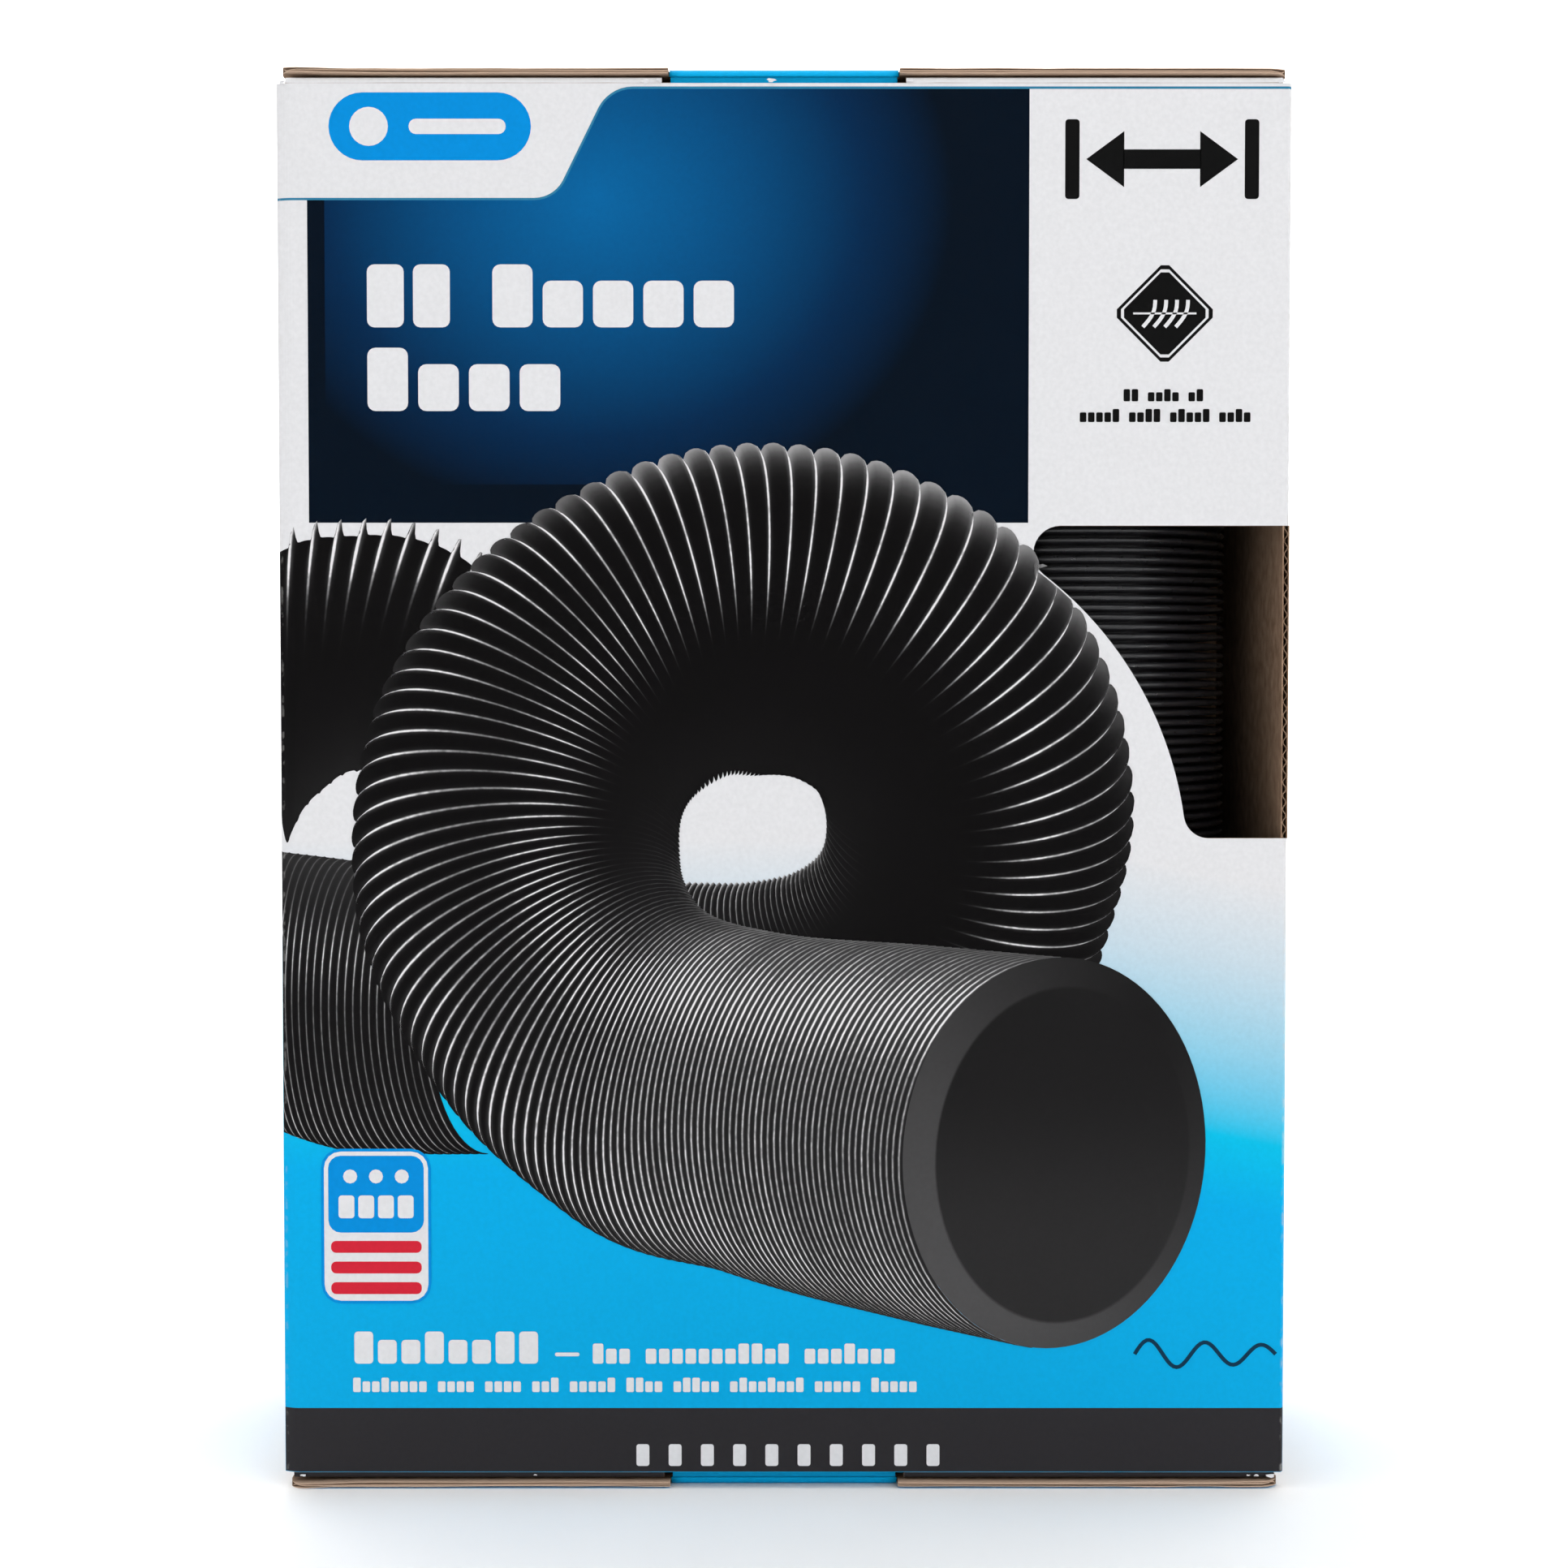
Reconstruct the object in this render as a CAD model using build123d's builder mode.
"""Boxed sewer hose: a printed corrugated carton with tuck-lock ends, and the compressed hose inside it.

Frame: +X right, +Y towards the back, +Z up, in millimetres. The origin is the middle of the carton's
footprint, on the surface that it stands on. The front face looks along -Y.

The carton is one die-cut sheet. Its four walls and its glue flap are rigid together; each end closes
with two dust flaps, a front flap over them, and a lid flap from the back wall whose tab drops through
a slot along the front crease. The hose is a vinyl bellows over a steel wire coil, squeezed to its
shortest and bent once into a U, with both open ends at the top.
"""

import os

from build123d import *

# Carton
carton_width = 241.0
carton_depth = 96.0
carton_height = 340.0
board = 1.6
play = 0.6  # room between a lid flap and the front flap under it
flap_play = 0.4  # room between the front flap and the dust flaps

# Flaps
lid_inset = 1.0  # each side of a lid stays this far inside the carton's width
lid_corner = 4.0
front_flap_reach = 38.0
front_flap_inset = 2.2
front_flap_corner = 8.0
dust_flap_reach = 42.0
dust_flap_side = 1.9  # gap to the front and back faces at the crease
dust_flap_taper = 24.0  # the same gap at the free edge
dust_flap_corner = 6.0
glue_flap_width = 30.0
glue_flap_end_gap = 7.0

# Tuck tab and its slot
tab_width = 54.0
tab_length = 13.0
tab_corner = 5.0
tab_setback = 3.5  # from the front face to the tab's outer side
slot_width = 58.0
slot_end_gap = 0.8  # behind the tab
notch_play = 0.5  # at each side of the tab, in the lid's notch

# Window in the front wall, open to the right-hand corner
window_bottom = 157.0
window_top = 231.6
window_arc_radius = 89.0
window_arc_centre = (7.6, 149.5)
window_upper_radius = 6.5
window_lower_radius = 6.0

# Hose
hose_outer_radius = 43.5
hose_inner_radius = 34.0
cavity_outer_radius = 43.1
cavity_inner_radius = 42.6
wire_play = 0.03
wire_end_gap = 3.0  # vinyl beyond the last turn of wire at each open end
column_offset = 69.0  # from the middle to each column's axis
bend_height = 117.0
left_column_top = 329.0
right_column_top = 326.0

front_face = -carton_depth / 2
back_face = carton_depth / 2
side_face = carton_width / 2
front_crease = board + play  # from an end's outermost plane to the front flap's outer side
dust_crease = front_crease + board + flap_play
tab_inner_side = front_face + tab_setback + board
ends = (("top", 1, carton_height), ("bottom", -1, 0.0))


def finish(part, name):
    """Labels a finished piece and writes it as one STEP file named after its node."""
    part.label = name
    export_step(part, f"parts/{name}.step")
    print(f"{name:24s} solids {len(part.solids())}  volume {part.volume:12.1f} mm3")


def inward(end_plane, direction, distance):
    """Height of a level that lies a distance inside one end of the carton."""
    return end_plane - direction * distance


def front_wall():
    """The front wall, with the window cut out as far as the right-hand corner."""
    low, high = front_crease + board, carton_height - front_crease - board
    with BuildPart() as wall:
        with BuildSketch(Plane.XZ.offset(-front_face)) as outline:
            with Locations((0, (low + high) / 2)):
                Rectangle(carton_width, high - low)
        extrude(amount=-board)
        with BuildSketch(Plane.XZ.offset(-front_face)) as window:
            with Locations((side_face, (window_bottom + window_top) / 2)):
                Rectangle(carton_width / 2, window_top - window_bottom)
            with Locations(window_arc_centre):
                Circle(window_arc_radius, mode=Mode.SUBTRACT)
            curved_corners = window.vertices().filter_by(lambda v: v.X < side_face)
            upper, lower = curved_corners.sort_by(Axis.Z)[-1], curved_corners.sort_by(Axis.Z)[0]
            fillet(upper, window_upper_radius)
            fillet(lower, window_lower_radius)
        extrude(amount=-board, mode=Mode.SUBTRACT)
    return wall.part


def back_wall():
    """The back wall, as tall as the lids that fold from its two ends allow."""
    with BuildPart() as wall:
        with BuildSketch(Plane.XZ.offset(-back_face)):
            with Locations((0, carton_height / 2)):
                Rectangle(carton_width, carton_height - 2 * board)
        extrude(amount=board)
    return wall.part


def side_wall(side):
    """A side wall: side -1 is the left one, 1 the right one, whose cut edge stands in the window."""
    low, high = dust_crease + board, carton_height - dust_crease - board
    outer = Plane.YZ.offset(side * side_face)
    with BuildPart() as wall:
        with BuildSketch(outer):
            with Locations((0, (low + high) / 2)):
                Rectangle(carton_depth - 2 * board, high - low)
            if side > 0:
                with Locations((front_face + board / 2, (window_bottom + window_top) / 2)):
                    Rectangle(board, window_top - window_bottom)
        extrude(amount=-side * board)
    return wall.part


def glue_flap():
    """The maker's joint: a strip folded from the front wall and glued inside the left wall."""
    low, high = dust_crease + glue_flap_end_gap, carton_height - dust_crease - glue_flap_end_gap
    start = front_face + board
    with BuildPart() as flap:
        with BuildSketch(Plane.YZ.offset(-side_face + board)) as outline:
            with Locations((start + glue_flap_width / 2, (low + high) / 2)):
                Rectangle(glue_flap_width, high - low)
            free_corners = outline.vertices().group_by(Axis.Y)[-1]
            chamfer(free_corners, glue_flap_width / 3)
        extrude(amount=board)
    return flap.part


def lid_flap(direction, end_plane):
    """The outer flap of one end, folded from the back wall, with a notch where its tab bends down."""
    notch_depth = tab_inner_side - front_face
    with BuildPart() as lid:
        with BuildSketch(Plane.XY.offset(end_plane)) as outline:
            Rectangle(carton_width - 2 * lid_inset, carton_depth)
            fillet(outline.vertices().group_by(Axis.Y)[0], lid_corner)
            with Locations((0, front_face + notch_depth / 2)):
                Rectangle(tab_width + 2 * notch_play, notch_depth, mode=Mode.SUBTRACT)
        extrude(amount=-direction * board)
    return lid.part


def tuck_tab(direction, end_plane):
    """The tab on a lid's front edge, folded at right angles and tucked behind the front wall."""
    root = inward(end_plane, direction, board)
    tip = inward(end_plane, direction, board + tab_length)
    with BuildPart() as tab:
        with BuildSketch(Plane.XZ.offset(-tab_inner_side)) as outline:
            with Locations((0, (root + tip) / 2)):
                Rectangle(tab_width, tab_length)
            fillet(outline.vertices().sort_by(Axis.Z, reverse=direction > 0)[-2:], tab_corner)
        extrude(amount=board)
    return tab.part


def front_flap(direction, end_plane):
    """The flap folded from the front wall, under the lid, with the slot for the tab along its crease."""
    slot_depth = tab_inner_side + slot_end_gap - front_face
    with BuildPart() as flap:
        with BuildSketch(Plane.XY.offset(inward(end_plane, direction, front_crease))) as outline:
            with Locations((0, front_face + front_flap_reach / 2)):
                Rectangle(carton_width - 2 * front_flap_inset, front_flap_reach)
            fillet(outline.vertices().group_by(Axis.Y)[-1], front_flap_corner)
            with Locations((0, front_face + slot_depth / 2)):
                Rectangle(slot_width, slot_depth, mode=Mode.SUBTRACT)
        extrude(amount=-direction * board)
    return flap.part


def dust_flap(direction, end_plane, side):
    """A flap folded from a side wall, tapered so that it clears the front flap and lid as they open."""
    crease_x, free_x = side * side_face, side * (side_face - dust_flap_reach)
    root_y = carton_depth / 2 - dust_flap_side
    free_y = carton_depth / 2 - dust_flap_taper
    with BuildPart() as flap:
        with BuildSketch(Plane.XY.offset(inward(end_plane, direction, dust_crease))) as outline:
            with BuildLine():
                Polyline(
                    (crease_x, -root_y), (free_x, -free_y), (free_x, free_y), (crease_x, root_y),
                    close=True,
                )
            make_face()
            fillet(outline.vertices().filter_by(lambda v: abs(v.X) < side_face - 1), dust_flap_corner)
        extrude(amount=-direction * board)
    return flap.part


def hose_sleeve(inner, outer, end_gap=0.0):
    """A sleeve along the hose's whole route: down the left column, round the bend, up the right one."""
    with BuildPart() as sleeve:
        for side, top in ((-1, left_column_top), (1, right_column_top)):
            with BuildSketch(Plane.XY.offset(bend_height)):
                with Locations((side * column_offset, 0)):
                    Circle(outer)
                    Circle(inner, mode=Mode.SUBTRACT)
            extrude(amount=top - bend_height - end_gap)
        with BuildSketch(Plane.XY.offset(bend_height)):
            with Locations((column_offset, 0)):
                Circle(outer)
                Circle(inner, mode=Mode.SUBTRACT)
        revolve(axis=Axis((0, 0, bend_height), (0, 1, 0)), revolution_arc=180)
    return sleeve.part


def hose_vinyl():
    """The squeezed bellows as one wall, with a closed cavity for the wire coil in its crests."""
    wall = hose_sleeve(hose_inner_radius, hose_outer_radius)
    cavity = hose_sleeve(cavity_inner_radius, cavity_outer_radius, wire_end_gap)
    with BuildPart() as vinyl:
        add(wall)
        add(cavity, mode=Mode.SUBTRACT)
    return vinyl.part


def hose_wire():
    """The steel coil. Its turns lie so close together that they make one plain sleeve."""
    inner, outer = cavity_inner_radius + wire_play, cavity_outer_radius - wire_play
    return hose_sleeve(inner, outer, wire_end_gap + wire_play)


os.makedirs("parts", exist_ok=True)

finish(front_wall(), "front_panel")
finish(back_wall(), "back_panel")
finish(side_wall(-1), "left_panel")
finish(side_wall(1), "right_panel")
finish(glue_flap(), "glue_flap")

for end, direction, end_plane in ends:
    finish(lid_flap(direction, end_plane), f"{end}_lid_flap")
    finish(tuck_tab(direction, end_plane), f"{end}_tuck_tab")
    finish(front_flap(direction, end_plane), f"{end}_front_flap")
    finish(dust_flap(direction, end_plane, -1), f"{end}_left_dust_flap")
    finish(dust_flap(direction, end_plane, 1), f"{end}_right_dust_flap")

finish(hose_vinyl(), "hose_vinyl")
finish(hose_wire(), "hose_wire")
